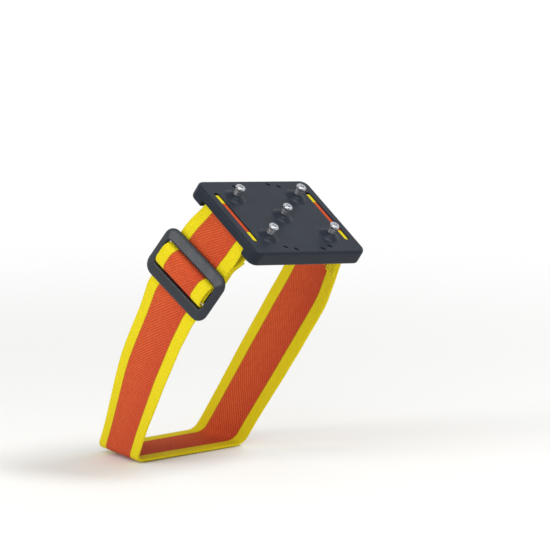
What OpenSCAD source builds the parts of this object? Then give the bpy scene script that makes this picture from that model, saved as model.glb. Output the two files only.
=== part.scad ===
// Mid-sole ice cleat: a studded traction plate on a loop of elastic webbing with a three-bar slider.
// Frame: +X goes across the foot to the far side, +Y towards the heel and +Z up, in millimetres.
// The origin is the middle of the run under the sole, on its upper face.
// The loop lies in one plane, which leans towards the toe. Its points are [across, up the plane].

/* [Loop] */
// Lean of the loop's plane towards the toe
loop_lean = 33; // [25:1:40]
// Slope of the run under the sole, down towards the toe
sole_slope = 4; // [0:1:12]
// Width of the run under the sole between its two bends
sole_w = 70.5; // [56:0.5:84]
// Inner radius of the bends at the two ends of that run
sole_bend_r = 5; // [3:0.5:8]
// Height of the plate's face, measured up the plane
plate_up = 163.5; // [150:0.5:185]
// Offset of the plate towards the far side
plate_shift = 4.5; // [0:0.5:10]
// Roll of the plate, far side down
plate_roll = 7.3; // [0:0.1:12]
// Height up the plane above which the webbing no longer twists
twist_top = 95; // [70:1:100]
// Height up the plane below which it lies as it does under the sole
twist_low = 10; // [8:1:20]
// Radius of the bulge on the far side of the loop
bulge_r = 50; // [35:1:60]
// Flare of the webbing at the sole, toe side outwards
sole_flare = 6; // [0:0.5:8]
// Height up the plane above which there is no flare
flare_top = 75; // [60:1:90]

/* [Near side] */
// Distance from the near bar to the bend above the slider
near_run = 18.5; // [15:0.1:24]
// Angle of that distance from the loop's upright
near_run_tilt = 32; // [28:1:40]
// Tilt of the slider from the loop's upright
slider_tilt = 13.6; // [10:0.1:18]
// Roll of the slider about its own length, heel side outwards
slider_roll = 6; // [0:0.5:10]
// Length below the slider over which the webbing loses that roll
roll_run = 24; // [15:1:40]
// Radius of the bends above the slider
near_bend_r = 6; // [4:0.5:8]
// Distance from the slider's lower end to the bend below it
near_straight = 4; // [3:0.5:12]
// Radius of the bend below the slider
near_exit_r = 12; // [8:1:20]
// Height up the plane of the slight bend half way down the near side
near_waist_up = 62; // [50:1:66]
// Distance of that bend inwards from the one below the slider
near_waist_in = 2.4; // [0:0.1:8]
// Radius of that bend
near_waist_r = 150; // [100:5:200]
// Length below the slider's bend that gives when the slider moves
near_stretch = 34; // [20:1:36]

/* [Far side] */
// Distance from the far bar to the corner of the far bulge
far_run = 45; // [42:1:60]
// Angle of that distance from the loop's upright
far_run_tilt = 12; // [6:1:16]
// Length of the doubled webbing below the far bar
far_sewn = 24; // [20:1:28]
// Length of that webbing whose two layers lie together
far_tail = 11; // [8:1:13]
// Length below the far bulge that gives when the plate lifts
far_stretch = 25; // [10:1:40]

/* [Webbing] */
// Width of the webbing
webbing_w = 38; // [30:1:45]
// Thickness of the webbing
webbing_t = 1.6; // [1.2:0.1:2]
// Width of the thin selvedge along each edge
selvedge_w = 0.7; // [0.4:0.1:1.2]
// Gap between layers that are sewn or pressed together
layer_gap = 0.1; // [0.05:0.05:0.3]
// Gap between the webbing and what slides or turns on it
run_gap = 0.3; // [0.2:0.05:0.5]

/* [Plate] */
// Width of the plate across the foot
plate_w = 83; // [76:1:95]
// Length of the plate along the foot
plate_l = 60; // [54:1:75]
// Thickness of the plate
plate_t = 9; // [8:0.5:12]
// Corner radius of the plate seen from above
plate_corner_r = 5; // [3:0.5:8]
// Bevel round the studded face
face_bevel = 1; // [0.5:0.1:1.5]
// Bevel round the back
back_bevel = 1.5; // [0.5:0.1:2]
// Width of the lip outside each slot
lip_w = 5.3; // [3:0.1:7]
// Width of each slot
slot_w = 3.4; // [2.4:0.1:4]
// Depth of the webbing below the face in each slot
webbing_sink = 0.4; // [0.2:0.1:2]
// Radius of the bar that the webbing goes round
bar_r = 2; // [1.6:0.1:2.4]
// Room round the webbing in its pocket
pocket_room = 0.4; // [0.3:0.1:1]
// Room beside the webbing at each end of the bar
bar_side_room = 1; // [0.5:0.1:2]
// Slope of the lip's underside below the plate's face
lip_slope = 40; // [30:1:45]
// Length of the moulded slits
slit_l = 3; // [2:0.5:4]
// Width of the moulded slits
slit_w = 1.4; // [0.6:0.1:2]
// Depth of the moulded slits
slit_depth = 1.5; // [0.5:0.1:2]
// Distance from the plate's edge to the inner slits
slit_edge = 3.4; // [3:0.1:6]
// Distance of the inner slits from the middle of the plate
slit_inner_x = 10; // [6:0.5:12]
// Distance of the outer slits from the middle of the plate
slit_outer_x = 16.7; // [14:0.1:20]
// Setback of the outer slits from the inner ones
slit_setback = 1.8; // [0:0.1:3]
// Turn of the slits from the plate's width
slit_turn = -35; // [-60:5:0]

/* [Studs] */
// Distance of the corner studs from the plate's slotted sides
stud_edge_x = 18.5; // [16:0.5:24]
// Distance of the corner studs from the plate's other sides
stud_edge_y = 14; // [10:0.5:17]
// Height of the moulded mound under each stud
mound_h = 2.2; // [1:0.1:3]
// Radius of the mound at the plate's face
mound_r = 6.2; // [4:0.1:7]
// Radius of the top of the mound
mound_top_r = 3.2; // [2.8:0.1:3.8]
// Height of a stud above its mound
stud_h = 5.4; // [4.5:0.1:9]
// Radius of a stud's crown
crown_r = 2.8; // [2.4:0.1:3.4]
// Height of a stud's crown
crown_h = 2.2; // [1.6:0.1:3]
// Height of the bevels under and over the crown's rim
crown_bevel_h = 0.7; // [0.4:0.1:0.8]
// Radius of the crown's flat top
crown_top_r = 2.1; // [1.8:0.1:2.3]
// Radius of a stud's neck
neck_r = 2.1; // [1.8:0.1:2.3]
// Radius of a stud's shank in the insert
shank_r = 1.9; // [1.5:0.1:2]
// Length of a stud's shank below its neck
shank_l = 9; // [7:0.5:10]
// Radius of the hard tip
tip_r = 1; // [0.7:0.1:1.3]
// Depth of the hard tip in the crown
tip_depth = 3; // [2:0.1:4]
// Height of the hard tip above the crown
tip_out = 0.7; // [0.4:0.1:1.2]
// Bevel at the end of the hard tip
tip_bevel = 0.35; // [0.1:0.05:0.4]
// Radius of the flutes round the crown
flute_r = 0.55; // [0.4:0.05:0.8]
// Depth of the flutes
flute_depth = 0.4; // [0.2:0.05:0.6]
// Radius of an insert's flange
flange_r = 5.4; // [4.5:0.1:6]
// Thickness of an insert's flange
flange_t = 1.2; // [0.8:0.1:1.6]
// Radius of an insert's barrel
barrel_r = 3.2; // [2.8:0.1:3.6]
// Length of an insert's barrel above its flange
barrel_l = 4.5; // [3:0.1:5]
// Clearance round parts that are set into holes
seat_gap = 0.05; // [0.02:0.01:0.1]

/* [Slider] */
// Thickness of the slider
slider_t = 4; // [3.4:0.1:5]
// Width of the two outer bars
outer_bar_w = 7; // [5:0.1:9]
// Width of the two end bars
end_bar_w = 4.7; // [3:0.1:6]
// Room beside the webbing in the slider
slider_side_room = 0.9; // [0.6:0.1:2]
// Outer corner radius of the slider
slider_corner_r = 6.5; // [4:0.1:8]
// Corner radius of the slider's window
window_corner_r = 2; // [1:0.1:3.5]
// Bevel round the slider
slider_bevel = 0.9; // [0.5:0.1:1.3]
// Width of the centre bar
centre_bar_w = 7; // [5:0.1:8]
// Thickness of the centre bar
centre_bar_t = 2; // [1.6:0.1:2.4]
// Depth of the centre bar below the slider's outer face
centre_bar_drop = 2.4; // [2:0.1:2.8]
// Angle at which the webbing climbs through the window
climb = 72; // [60:1:75]
// Room between the webbing's foot and the outer bars
foot_room = 0.95; // [0.8:0.05:1.5]
// Length of webbing beyond the slider that travels with it
slider_lead = 1; // [1:0.1:3]
// Radius of the webbing's bend under an outer bar
foot_r = 2; // [1.8:0.1:2.4]
// Distance of the webbing's sewn end inside the slider's upper edge
tail_setback = 1; // [0.5:0.1:2]

/* [Stitching] */
// Length of a stitch
stitch_l = 2.2; // [1.5:0.1:3]
// Thickness of the thread
thread_t = 0.4; // [0.3:0.05:0.6]
// Distance between stitches in a row
stitch_pitch = 3; // [2.5:0.1:4]
// Distance between rows of stitches
stitch_row_pitch = 2; // [1.2:0.1:2.2]
// Distance from the end of the far tail to the middle of its stitches
far_stitch_in = 3.8; // [3.5:0.1:5]

/* [Hidden] */
$fn = 40;
STUD_SIGNS = [[-1, 1], [1, 1], [0, 0], [-1, -1], [1, -1]];
// Largest turn between two stations of a bend, in degrees
bend_step = 13;
// Turn between two stations of the loops round the plate's bars, in degrees
loop_step = 12;
// How far cuts run past the faces that they open
past = 1;

// Plate, derived
bar_x = plate_w / 2 - lip_w - slot_w / 2;
pocket_r = bar_r + run_gap + webbing_t + pocket_room;
pocket_l = webbing_w + 2 * bar_side_room;
wrap_r = bar_r + run_gap + webbing_t / 2;
bar_depth = webbing_sink + wrap_r + webbing_t / 2;
stud_x = plate_w / 2 - stud_edge_x;
stud_y = plate_l / 2 - stud_edge_y;

// Slider, derived: s runs along the webbing towards the plate, h outwards from the slider's middle
window_w = webbing_w + 2 * slider_side_room;
centre_bar_h = slider_t / 2 - centre_bar_drop - centre_bar_t / 2;
centre_bar_end = centre_bar_w / 2 - centre_bar_t / 2;
sewn_r = centre_bar_t / 2 + layer_gap + webbing_t / 2;
hump_r = sewn_r + webbing_t + layer_gap;
upper_h = -(slider_t / 2 + run_gap + webbing_t / 2);
lower_h = upper_h - webbing_t - layer_gap;
tail_h = lower_h - webbing_t - layer_gap;
window_l = 2 * (climb_at(upper_h, hump_r) + foot_room);
slider_l = window_l + 2 * outer_bar_w;
slider_w = window_w + 2 * end_bar_w;
lead_s = slider_l / 2 + slider_lead;
bend_s = lead_s + near_bend_r / 2;
tail_s = slider_l / 2 - tail_setback;

// Where a line that climbs past the centre bar at radius r reaches height h
function climb_at(h, r) =
    (centre_bar_end * sin(climb) + centre_bar_h * cos(climb) + r - h * cos(climb)) / sin(climb);

// Points and paths in the loop's plane
function unit(v) = v / norm(v);
function turned(v, a) = [v.x * cos(a) + v.y * sin(a), v.y * cos(a) - v.x * sin(a)];
function plate_point(p) = [plate_shift, plate_up] + turned(p, plate_roll);
function slider_point(p) = slider_centre + p.x * slider_along + p.y * slider_out;
function tangent_angle(c, r, p, side) =
    atan2(p.y - c.y, p.x - c.x) + side * acos(r / norm(p - c));
function polar(c, r, a) = c + r * [cos(a), sin(a)];
function arc(c, r, a0, a1) =
    let (n = ceil((a1 - a0) / loop_step)) [for (i = [0 : n]) polar(c, r, a0 + (a1 - a0) * i / n)];
function corner_arc(a, b, c, r) =
    let (u = unit(a - b), v = unit(c - b), half = acos(u * v) / 2, turn = 180 - 2 * half,
        o = b + unit(u + v) * r / sin(half), p = b + u * r / tan(half) - o, q = b + v * r / tan(half) - o,
        n = max(2, ceil(turn / bend_step)))
    [for (i = [0 : n]) o + (p * sin(turn * (1 - i / n)) + q * sin(turn * i / n)) / sin(turn)];
function rounded_path(pts, radii) = concat([pts[0]],
    [for (i = [1 : len(pts) - 2]) each corner_arc(pts[i - 1], pts[i], pts[i + 1], radii[i - 1])],
    [pts[len(pts) - 1]]);
function between(a, b, n) = [for (i = [1 : n]) a + (b - a) * i / n];
function last(list) = list[len(list) - 1];
function rest(list) = [for (i = [1 : len(list) - 1]) list[i]];

near_bar = plate_point([-bar_x, -bar_depth]);
far_bar = plate_point([bar_x, -bar_depth]);
slider_along = [sin(slider_tilt), cos(slider_tilt)];
slider_out = [-cos(slider_tilt), sin(slider_tilt)];
upper_bend = near_bar - near_run * [sin(near_run_tilt), cos(near_run_tilt)];
slider_centre = upper_bend - bend_s * slider_along - upper_h * slider_out;
lower_bend = slider_point([bend_s, lower_h]);

// The two layers between the slider and the near bar, and the loop that joins them
upper_angle = tangent_angle(near_bar, wrap_r, upper_bend, -1) + 360;
lower_angle = tangent_angle(near_bar, wrap_r, lower_bend, 1);
near_loop_arc = arc(near_bar, wrap_r, lower_angle, upper_angle);
lower_path = rounded_path([slider_point([lead_s, lower_h]), lower_bend, near_loop_arc[0]], [near_bend_r]);
upper_path = rounded_path([last(near_loop_arc), upper_bend, slider_point([lead_s, upper_h])], [near_bend_r]);
doubled_path = concat(lower_path, rest(near_loop_arc), rest(upper_path));
loop_first = len(lower_path) - 1;
loop_last = loop_first + len(near_loop_arc) - 1;

// The webbing's hump over the centre bar, and its end sewn round that bar
hump_foot = climb_at(upper_h, hump_r);
hump_top = centre_bar_h + hump_r;
hump_shoulder = climb_at(hump_top, hump_r);
hump_path = [for (p = rounded_path(
    [[lead_s, upper_h], [hump_foot, upper_h], [hump_shoulder, hump_top],
        [-hump_shoulder, hump_top], [-hump_foot, upper_h], [-lead_s, upper_h]],
    [foot_r, hump_r, hump_r, foot_r])) slider_point(p)];
sewn_foot = climb_at(lower_h, sewn_r);
sewn_top = centre_bar_h + sewn_r;
sewn_under = centre_bar_h - sewn_r;
sewn_side = -centre_bar_end - sewn_r;
// Share of the full radius used where two bends follow each other
bend_share = 0.97;
sewn_path = [for (p = rounded_path(
    [[lead_s, lower_h], [sewn_foot, lower_h], [climb_at(sewn_top, sewn_r), sewn_top], [sewn_side, sewn_top],
        [sewn_side, sewn_under], [0, sewn_under], [sewn_foot, tail_h], [tail_s, tail_h]],
    [foot_r + webbing_t + layer_gap, sewn_r, sewn_r * bend_share, sewn_r * bend_share, sewn_r, foot_r]))
    slider_point(p)];

// The long run from the slider, under the sole and up the far side
near_exit = slider_point([-lead_s, upper_h]);
near_bulge = near_exit - near_straight * slider_along;
near_waist = [near_bulge.x + near_waist_in, near_waist_up];
near_corner = [-(sole_w + webbing_t) / 2, -webbing_t / 2];
far_corner = [(sole_w + webbing_t) / 2, -webbing_t / 2];
far_bulge = far_bar + far_run * [sin(far_run_tilt), -cos(far_run_tilt)];
far_outer_angle = tangent_angle(far_bar, wrap_r, far_bulge, 1);
far_touch = polar(far_bar, wrap_r, far_outer_angle);
far_along = unit(far_bulge - far_touch);
far_in = [far_along.y, -far_along.x];
far_join = far_touch + far_sewn * far_along;
near_bulge_arc = corner_arc(near_exit, near_bulge, near_waist, near_exit_r);
near_waist_arc = corner_arc(near_bulge, near_waist, near_corner, near_waist_r);
near_sole_arc = corner_arc(near_waist, near_corner, far_corner, sole_bend_r + webbing_t / 2);
far_sole_arc = corner_arc(near_corner, far_corner, far_bulge, sole_bend_r + webbing_t / 2);
far_bulge_arc = corner_arc(far_corner, far_bulge, far_join, bulge_r);
near_split = last(near_bulge_arc) + near_stretch * unit(near_waist_arc[0] - last(near_bulge_arc));
far_split = far_bulge_arc[0] + far_stretch * unit(last(far_sole_arc) - far_bulge_arc[0]);
// Numbers of steps along the straight stretches
stretch_steps = 6;
waist_steps = 2;
side_steps = 12;
sole_steps = 6;
long_path = concat([near_exit], near_bulge_arc,
    between(last(near_bulge_arc), near_split, stretch_steps),
    between(near_split, near_waist_arc[0], waist_steps), rest(near_waist_arc),
    between(last(near_waist_arc), near_sole_arc[0], side_steps), rest(near_sole_arc),
    between(last(near_sole_arc), far_sole_arc[0], sole_steps), rest(far_sole_arc),
    between(last(far_sole_arc), far_split, side_steps),
    between(far_split, far_bulge_arc[0], stretch_steps), rest(far_bulge_arc), [far_join]);
near_split_at = len(near_bulge_arc) + stretch_steps;
near_sole_at = near_split_at + waist_steps + len(near_waist_arc) - 1 + side_steps;
far_sole_at = near_sole_at + len(near_sole_arc) - 1 + sole_steps + len(far_sole_arc) - 1;
far_split_at = far_sole_at + side_steps;
long_last = len(long_path) - 1;

// The sewn loop round the far bar
far_tail_end = far_join + (webbing_t + layer_gap) * far_in;
far_tail_bend = far_tail_end - far_tail * far_along;
far_inner_angle = tangent_angle(far_bar, wrap_r, far_tail_bend, -1) + 360;
far_tail_path = rounded_path([polar(far_bar, wrap_r, far_inner_angle), far_tail_bend, far_tail_end],
    [near_bend_r]);
far_loop_path = concat([far_join], arc(far_bar, wrap_r, far_outer_angle, far_inner_angle),
    rest(far_tail_path));

// Heights between which the webbing rolls with the slider
exit_up = near_exit.y;
roll_up = slider_point([bend_s + near_bend_r / 2, upper_h]).y;
bar_up = near_bar.y - wrap_r;
// Half the straight run under the sole
sole_half = sole_w / 2 - sole_bend_r;

// Webbing as one solid along a path: its width turns from across the loop's plane to flat under the sole,
// and leans sideways with the slider and with the flare at the sole
function in_space(p) = [p.x, -p.y * sin(loop_lean), p.y * cos(loop_lean)];
function clamped(f) = max(0, min(1, f));
function eased(f) = let (g = clamped(f)) g * g * (3 - 2 * g);
function twist(up) = eased((up - twist_low) / (twist_top - twist_low));
function lay(up) = sole_slope + (loop_lean - sole_slope) * twist(up);
function flare(up) = sole_flare * (eased((up - twist_low) / (flare_top - twist_low)) - 1);
function roll(up) = slider_roll * (up > exit_up
    ? 1 - eased((up - roll_up) / (bar_up - roll_up))
    : eased((up - exit_up) / roll_run + 1));
function across_at(p) =
    let (far = clamped(1 / 2 + p.x / (2 * sole_half)), angle = lay(p.y))
    unit([0, cos(angle), sin(angle)]
        + (1 - far) * tan(roll(p.y) + flare(p.y)) * in_space(slider_out)
        + far * tan(flare(p.y)) * [1, 0, 0]);
function section() = let (w = webbing_w / 2, t = webbing_t / 2)
    [[-w, 0], [selvedge_w - w, -t], [w - selvedge_w, -t], [w, 0], [w - selvedge_w, t], [selvedge_w - w, t]];
function ring(path, i) =
    let (along = in_space(unit(path[min(i + 1, len(path) - 1)] - path[max(i - 1, 0)])),
        across = across_at(path[i]), out = unit(cross(along, across)))
    [for (q = section()) in_space(path[i]) + q.x * across + q.y * out];

module webbing(path, first, last) {
    sides = len(section());
    count = last - first + 1;
    points = [for (i = [first : last]) each ring(path, i)];
    walls = [for (i = [0 : count - 2], j = [0 : sides - 1])
        let (k = (j + 1) % sides, a = i * sides, b = a + sides)
        each [[a + j, b + j, b + k], [a + j, b + k, a + k]]];
    start = [for (j = [0 : sides - 1]) j];
    end = [for (j = [sides - 1 : -1 : 0]) (count - 1) * sides + j];
    color("orangered") polyhedron(points, concat([start], walls, [end]));
}

// Placing pieces on the plate, on the slider and on the far doubled webbing
module in_loop(p, turn) {
    rotate([loop_lean, 0, 0]) translate([p.x, 0, p.y]) rotate([0, turn, 0]) children();
}

module on_plate() {
    in_loop([plate_shift, plate_up], plate_roll) children();
}

module on_slider() {
    in_loop(slider_centre, slider_tilt - 90) rotate([slider_roll, 0, 0]) children();
}

module on_far_tail() {
    in_loop(far_join, -atan2(far_along.y, far_along.x)) children();
}

module on_stud(i) {
    on_plate() translate([STUD_SIGNS[i].x * stud_x, STUD_SIGNS[i].y * stud_y, 0]) children();
}

// A flat slab with round corners, standing on its lower face
module slab(size, r, h) {
    linear_extrude(h) {
        square([size.x - 2 * r, size.y], center = true);
        square([size.x, size.y - 2 * r], center = true);
        for (sx = [-1, 1], sy = [-1, 1])
            translate([sx * (size.x / 2 - r), sy * (size.y / 2 - r)]) circle(r);
    }
}

// A slab with bevelled edges, from z0 up to z1
module bevelled_slab(size, r, z0, z1, low_bevel, high_bevel) {
    hull() {
        translate([0, 0, z0]) slab(size - 2 * [low_bevel, low_bevel], r - low_bevel, z1 - z0 - high_bevel);
        translate([0, 0, z0 + low_bevel]) slab(size, r, z1 - z0 - low_bevel - high_bevel);
        translate([0, 0, z0]) slab(size - 2 * [high_bevel, high_bevel], r - high_bevel, z1 - z0);
    }
}

// Room for the webbing round one bar: the pocket, the slot in the face and the way out under the lip
module bar_room() {
    rotate([90, 0, 0]) cylinder(r = pocket_r, h = pocket_l, center = true);
    translate([0, 0, (bar_depth + past) / 2])
        cube([slot_w, pocket_l - slot_w, bar_depth + past], center = true);
    for (sy = [-1, 1]) translate([0, sy * (pocket_l - slot_w) / 2, 0])
        cylinder(d = slot_w, h = bar_depth + past);
    touch = pocket_r * [-sin(lip_slope), cos(lip_slope)];
    edge = bar_x - plate_w / 2 - past;
    below = bar_depth - plate_t - past;
    rotate([90, 0, 0]) linear_extrude(pocket_l, center = true) polygon([
        touch, [edge, touch.y + (edge - touch.x) * tan(lip_slope)], [edge, below],
        [pocket_r, below], [pocket_r, 0], [0, 0]]);
}

module slits() {
    for (sx = [-1, 1], sy = [-1, 1], outer = [0, 1])
        translate([sx * (outer ? slit_outer_x : slit_inner_x),
            sy * (plate_l / 2 - slit_edge - outer * slit_setback), -slit_depth])
            rotate(slit_turn) slab([slit_l, slit_w], slit_w / 2 - seat_gap, slit_depth + past);
}

module traction_plate() {
    color("darkslategray") on_plate() {
        difference() {
            union() {
                bevelled_slab([plate_w, plate_l], plate_corner_r, -plate_t, 0, back_bevel, face_bevel);
                for (s = STUD_SIGNS) translate([s.x * stud_x, s.y * stud_y, 0])
                    cylinder(r1 = mound_r, r2 = mound_top_r, h = mound_h);
            }
            for (sx = [0, 1]) mirror([sx, 0, 0]) translate([-bar_x, 0, -bar_depth]) bar_room();
            for (s = STUD_SIGNS) translate([s.x * stud_x, s.y * stud_y, 0]) {
                translate([0, 0, -plate_t]) cylinder(r = shank_r + seat_gap, h = plate_t + mound_h + past);
                translate([0, 0, -plate_t]) cylinder(r = barrel_r + seat_gap, h = flange_t + barrel_l);
                translate([0, 0, -plate_t - past]) cylinder(r = flange_r + seat_gap, h = flange_t + past);
            }
            slits();
        }
        for (sx = [-1, 1]) translate([sx * bar_x, 0, -bar_depth]) rotate([90, 0, 0])
            cylinder(r = bar_r, h = pocket_l + 2 * past, center = true);
    }
}

// A stud: shank, neck and fluted crown, turned about its own axis
module stud(i) {
    color("silver") on_stud(i) translate([0, 0, mound_h]) difference() {
        rotate_extrude() polygon([[0, -shank_l], [shank_r, -shank_l], [shank_r, 0], [neck_r, 0],
            [neck_r, stud_h - crown_h], [crown_r, stud_h - crown_h + crown_bevel_h],
            [crown_r, stud_h - crown_bevel_h], [crown_top_r, stud_h], [0, stud_h]]);
        translate([0, 0, stud_h - tip_depth]) cylinder(r = tip_r + seat_gap, h = tip_depth + past);
        for (k = [0 : 5]) rotate(60 * k) translate([crown_r + flute_r - flute_depth, 0, stud_h - crown_h])
            cylinder(r = flute_r, h = crown_h + past);
    }
}

module stud_tip(i) {
    color("dimgray") on_stud(i) translate([0, 0, mound_h + stud_h - tip_depth]) rotate_extrude()
        polygon([[0, 0], [tip_r, 0], [tip_r, tip_depth + tip_out - tip_bevel],
            [tip_r - tip_bevel, tip_depth + tip_out], [0, tip_depth + tip_out]]);
}

module stud_insert(i) {
    color("gainsboro") on_stud(i) translate([0, 0, -plate_t]) difference() {
        union() {
            cylinder(r = flange_r, h = flange_t);
            cylinder(r = barrel_r, h = flange_t + barrel_l);
        }
        translate([0, 0, -past]) cylinder(r = shank_r + seat_gap, h = flange_t + barrel_l + 2 * past);
    }
}

// The three-bar slider: a bevelled frame and, set back in its window, the centre bar
module slider_frame() {
    color("darkslategray") on_slider() {
        difference() {
            bevelled_slab([slider_l, slider_w], slider_corner_r, -slider_t / 2, slider_t / 2,
                slider_bevel, slider_bevel);
            translate([0, 0, -slider_t / 2 - past])
                slab([window_l, window_w], window_corner_r, slider_t + 2 * past);
        }
        translate([0, 0, centre_bar_h]) {
            cube([2 * centre_bar_end, window_w + end_bar_w, centre_bar_t], center = true);
            for (sx = [-1, 1]) translate([sx * centre_bar_end, 0, 0]) rotate([90, 0, 0])
                cylinder(d = centre_bar_t, h = window_w + end_bar_w, center = true);
        }
    }
}

// A patch of stitches on a face at z = 0, standing up from it, in rows across the webbing
module stitches(rows) {
    count = floor((webbing_w - 2 * selvedge_w - stitch_l) / stitch_pitch) + 1;
    for (i = [0 : rows - 1], j = [0 : count - 1])
        translate([(i - (rows - 1) / 2) * stitch_row_pitch, (j - (count - 1) / 2) * stitch_pitch, 0])
            translate([-thread_t / 2, -stitch_l / 2, 0]) cube([thread_t, stitch_l, thread_t]);
}

module slider_stitching() {
    color("yellow") on_slider()
        translate([(tail_s + sewn_foot + foot_r) / 2, tail_h * sin(slider_roll),
            tail_h * cos(slider_roll) - webbing_t / 2]) mirror([0, 0, 1]) stitches(2);
}

module far_stitching() {
    color("yellow") on_far_tail() {
        translate([-far_stitch_in, 0, webbing_t / 2]) stitches(3);
        translate([-far_stitch_in, 0, -webbing_t * 3 / 2 - layer_gap]) mirror([0, 0, 1]) stitches(3);
    }
}

traction_plate();
stud(0);  // stud_heel_near
stud(1);  // stud_heel_far
stud(2);  // stud_centre
stud(3);  // stud_toe_near
stud(4);  // stud_toe_far
stud_tip(0);  // tip_heel_near
stud_tip(1);  // tip_heel_far
stud_tip(2);  // tip_centre
stud_tip(3);  // tip_toe_near
stud_tip(4);  // tip_toe_far
stud_insert(0);  // insert_heel_near
stud_insert(1);  // insert_heel_far
stud_insert(2);  // insert_centre
stud_insert(3);  // insert_toe_near
stud_insert(4);  // insert_toe_far
slider_frame();
webbing(hump_path, 0, len(hump_path) - 1);  // webbing_over_slider
webbing(sewn_path, 0, len(sewn_path) - 1);  // webbing_sewn_end
slider_stitching();
webbing(doubled_path, 0, loop_first);  // webbing_lower_layer
webbing(doubled_path, loop_first, loop_last);  // webbing_near_bar_loop
webbing(doubled_path, loop_last, len(doubled_path) - 1);  // webbing_upper_layer
webbing(long_path, 0, near_split_at);  // webbing_near_upper
webbing(long_path, near_split_at, near_sole_at);  // webbing_near_lower
webbing(long_path, near_sole_at, far_sole_at);  // webbing_under_sole
webbing(long_path, far_sole_at, far_split_at);  // webbing_far_lower
webbing(long_path, far_split_at, long_last);  // webbing_far_upper
webbing(far_loop_path, 0, len(far_loop_path) - 1);  // webbing_far_bar_loop
far_stitching();
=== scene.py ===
# %% [markdown]
# # A mid-sole ice cleat, piece by piece
# The cleat is a studded rubber plate on a loop of striped elastic webbing, with a three-bar slider on the near side.
# A CAD model of it gives every place and size, so this lesson models each piece again with the roundings, the weave
# and the finish that the eye expects. The CAD box is kept first, because the dressed model has to stay inside it.

# %% Load the CAD frame
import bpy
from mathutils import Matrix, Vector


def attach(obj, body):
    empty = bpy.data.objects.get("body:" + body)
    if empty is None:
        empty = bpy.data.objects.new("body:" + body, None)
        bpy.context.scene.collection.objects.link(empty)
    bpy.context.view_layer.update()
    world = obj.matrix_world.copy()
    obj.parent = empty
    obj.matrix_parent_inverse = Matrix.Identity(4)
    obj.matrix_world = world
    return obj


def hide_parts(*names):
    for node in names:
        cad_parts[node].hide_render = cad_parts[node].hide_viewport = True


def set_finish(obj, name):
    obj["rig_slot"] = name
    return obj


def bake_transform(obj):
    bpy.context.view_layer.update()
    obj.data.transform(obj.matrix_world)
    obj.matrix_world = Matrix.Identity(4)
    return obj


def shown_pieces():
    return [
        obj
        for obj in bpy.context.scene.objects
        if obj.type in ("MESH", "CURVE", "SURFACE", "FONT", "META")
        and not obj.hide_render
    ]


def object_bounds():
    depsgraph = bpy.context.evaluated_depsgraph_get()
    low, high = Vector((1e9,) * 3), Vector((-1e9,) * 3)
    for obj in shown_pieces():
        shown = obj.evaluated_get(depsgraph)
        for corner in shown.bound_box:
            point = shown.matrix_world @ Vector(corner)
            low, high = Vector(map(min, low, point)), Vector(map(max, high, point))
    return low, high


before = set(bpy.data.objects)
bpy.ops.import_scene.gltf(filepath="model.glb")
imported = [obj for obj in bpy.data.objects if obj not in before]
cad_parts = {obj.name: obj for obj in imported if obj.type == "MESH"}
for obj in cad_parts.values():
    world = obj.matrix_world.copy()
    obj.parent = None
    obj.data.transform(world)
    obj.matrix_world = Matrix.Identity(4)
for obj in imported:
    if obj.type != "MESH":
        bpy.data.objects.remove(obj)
cad_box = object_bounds()

# %% [markdown]
# ## The camera
# The camera comes first, so that every render can be set beside the photograph. The loop lies in one plane that
# leans towards the toe, and the plate sits at the top of it. A helper gives the frame of any point of that plane,
# with x across the foot, and the camera is aimed so that the plate's middle falls on its pixel of the photograph.
# The plate's near and far edges look almost parallel there, so the lens is long and the camera far away.

# %% Aim the camera
import math

import bmesh
import bpy
from mathutils import Matrix, Vector, noise

MM = 0.001
LOOP_LEAN = math.radians(33)


def in_loop(point, turn):
    """Frame of a point of the loop's plane, given as (across, up) in mm, turned within that plane."""
    place = Matrix.Translation((point[0] * MM, 0, point[1] * MM))
    return Matrix.Rotation(LOOP_LEAN, 4, "X") @ place @ Matrix.Rotation(turn, 4, "Y")


PLATE_ROLL = math.radians(7.3)
PLATE_PLACE = Vector((4.5, 163.5))
PLATE_FRAME = in_loop(PLATE_PLACE, PLATE_ROLL)

AZIMUTH, ELEVATION = math.radians(-41), math.radians(10)
CAMERA_DISTANCE = 3.0
IMAGE_SIDE = 550
PIXELS_PER_METRE = 1880
PLATE_PIXEL = (282.1, 216.4)

back = Vector((math.sin(AZIMUTH) * math.cos(ELEVATION), -math.cos(AZIMUTH) * math.cos(ELEVATION),
               math.sin(ELEVATION)))
right = Vector((math.cos(AZIMUTH), math.sin(AZIMUTH), 0))
up = back.cross(right)
target = PLATE_FRAME.translation - right * (PLATE_PIXEL[0] - IMAGE_SIDE / 2) / PIXELS_PER_METRE
target += up * (PLATE_PIXEL[1] - IMAGE_SIDE / 2) / PIXELS_PER_METRE
bpy.ops.object.camera_add(location=target + back * CAMERA_DISTANCE,
                          rotation=back.to_track_quat("Z", "Y").to_euler())
camera = bpy.context.object
camera.data.lens = camera.data.sensor_width * CAMERA_DISTANCE * PIXELS_PER_METRE / IMAGE_SIDE
camera.data.clip_end = 40
bpy.context.scene.camera = camera
print("lens", round(camera.data.lens), "mm")

# %% [markdown]
# ## The webbing's route
# The webbing is one length of woven elastic. It starts as a short tail above the slider, is sewn round the slider's
# centre bar, runs up to the plate's near bar and back, climbs through the slider, goes down the near side, under the
# sole and up the far side, and ends sewn round the far bar. Its middle line is drawn in the loop's plane in mm, as
# straight stretches joined by arcs. A Bezier curve could do the same by eye, but here the bends have to clear the
# bars by tenths of a millimetre. The hump over the centre bar stands a little fuller than in the CAD model, and the
# lower layer sags a little, because slack elastic does both.

# %% Draw arcs and rounded corners
ARC_STEP = math.radians(6)


def polar(centre, radius, angle):
    return centre + radius * Vector((math.cos(angle), math.sin(angle)))


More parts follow.
